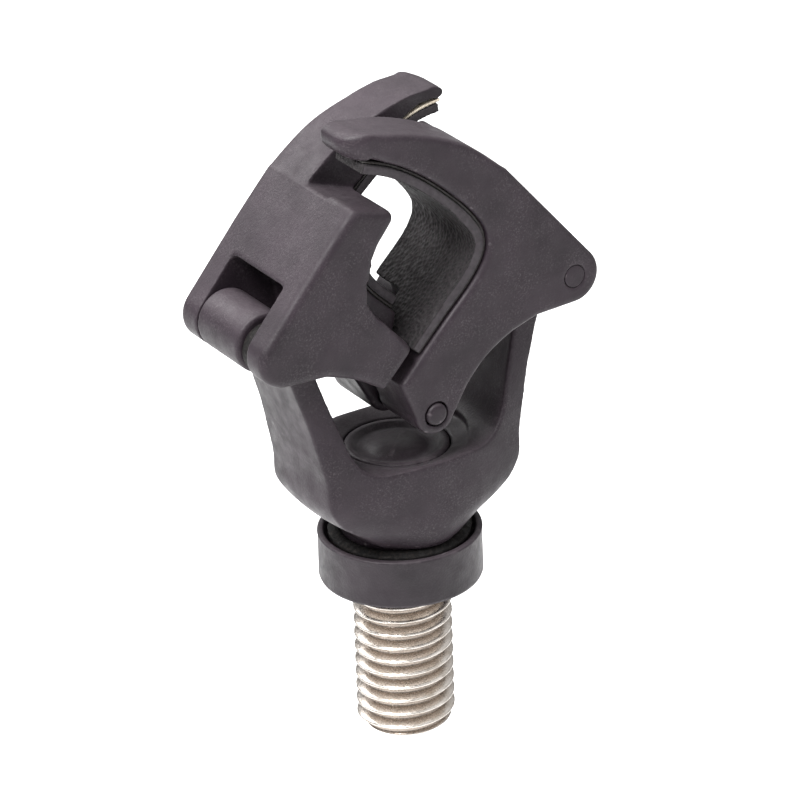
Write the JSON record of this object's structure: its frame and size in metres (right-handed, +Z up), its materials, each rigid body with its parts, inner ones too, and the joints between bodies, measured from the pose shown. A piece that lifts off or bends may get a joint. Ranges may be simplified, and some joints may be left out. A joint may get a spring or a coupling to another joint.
{
  "type": "fishing rod rest clamp head",
  "caption": "Locking head for a fishing rod rest: a yoke on a threaded stud carries two hinged claw jaws with foam liners, linked by one pin.",
  "frame": {"origin": "centre of the stud's lower end face", "axes": "+Z up along the stud, X across the yoke's two arms, Y along the hinge pins and the rod held in the claws"},
  "size_m": [0.0386, 0.0166, 0.0684],
  "materials": {
    "moulded_nylon": "satin moulded nylon, lightly speckled and scuffed",
    "ring_plastic": "satin turned plastic",
    "pin_nylon": "satin plastic, polished on the dome",
    "stud_steel": "bright rolled thread, warm nickel tone",
    "rubber": "matte black rubber",
    "foam": "fine open cell foam, matte brown black",
    "adhesive": "pale cream adhesive tape"
  },
  "bodies": {
    "yoke": {"yoke": "moulded_nylon", "floor_plug": "moulded_nylon", "stud": "stud_steel", "neck_o_ring": "rubber", "hinge_pin_left": "pin_nylon", "hinge_pin_right": "pin_nylon", "knuckle_ring_left": "rubber", "knuckle_ring_right": "rubber"},
    "lock_ring": {"lock_ring": "ring_plastic"},
    "jaw_left": {"jaw_left": "moulded_nylon", "liner_left": "foam", "liner_tape_left": "adhesive"},
    "jaw_right": {"jaw_right": "moulded_nylon", "liner_right": "foam", "liner_tape_right": "adhesive", "link_pin": "pin_nylon"}
  },
  "joints": [
    {"name": "left_jaw_hinge", "type": "hinge", "parent": "yoke", "child": "jaw_left", "pos_m": [-0.01645, 0, 0.0475], "axis": [0, -1, 0], "range_deg": [0, 64.1]},
    {"name": "right_jaw_hinge", "type": "hinge", "parent": "yoke", "child": "jaw_right", "pos_m": [0.01645, 0, 0.0475], "axis": [0, 1, 0], "range_deg": [0, 64.1]},
    {"name": "lock_ring_travel", "type": "slide", "parent": "yoke", "child": "lock_ring", "axis": [0, 0, -1], "range_m": [0, 0.008]}
  ],
  "couplings": [
    {"joint": "right_jaw_hinge", "follows": "left_jaw_hinge", "ratio": 1}
  ]
}
